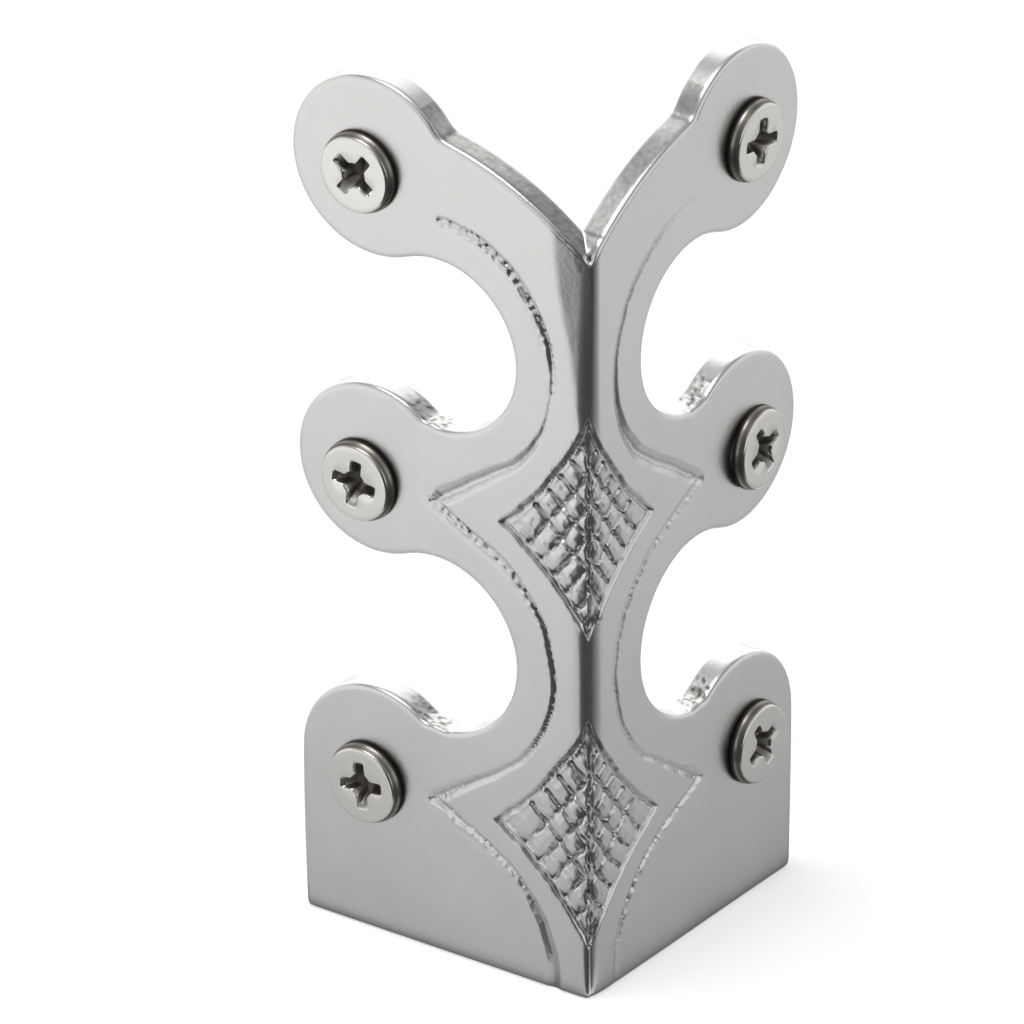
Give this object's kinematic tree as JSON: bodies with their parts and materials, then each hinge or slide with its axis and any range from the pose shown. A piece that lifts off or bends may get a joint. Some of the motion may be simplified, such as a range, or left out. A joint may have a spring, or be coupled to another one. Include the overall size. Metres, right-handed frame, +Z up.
{
  "type": "baseboard corner protector",
  "caption": "Scalloped cast metal angle with engraved leaf lines and knurled diamonds, screwed over the outside corner of a baseboard to guard it.",
  "frame": {"origin": "the wall's corner at floor level, where the casting's inner faces meet its foot", "axes": "+X along the right leg, +Y along the left leg, +Z up the arris; the wall fills the quarter of positive X and Y"},
  "size_m": [0.0303, 0.0303, 0.076],
  "materials": {
    "casting": "satin nickel plate on a cast metal body, hand dressed",
    "screws": "bright nickel plated steel"
  },
  "bodies": {
    "root": {"corner_plate": "casting", "screw_left_bottom": "screws", "screw_left_middle": "screws", "screw_left_top": "screws", "screw_right_bottom": "screws", "screw_right_middle": "screws", "screw_right_top": "screws"}
  },
  "joints": []
}
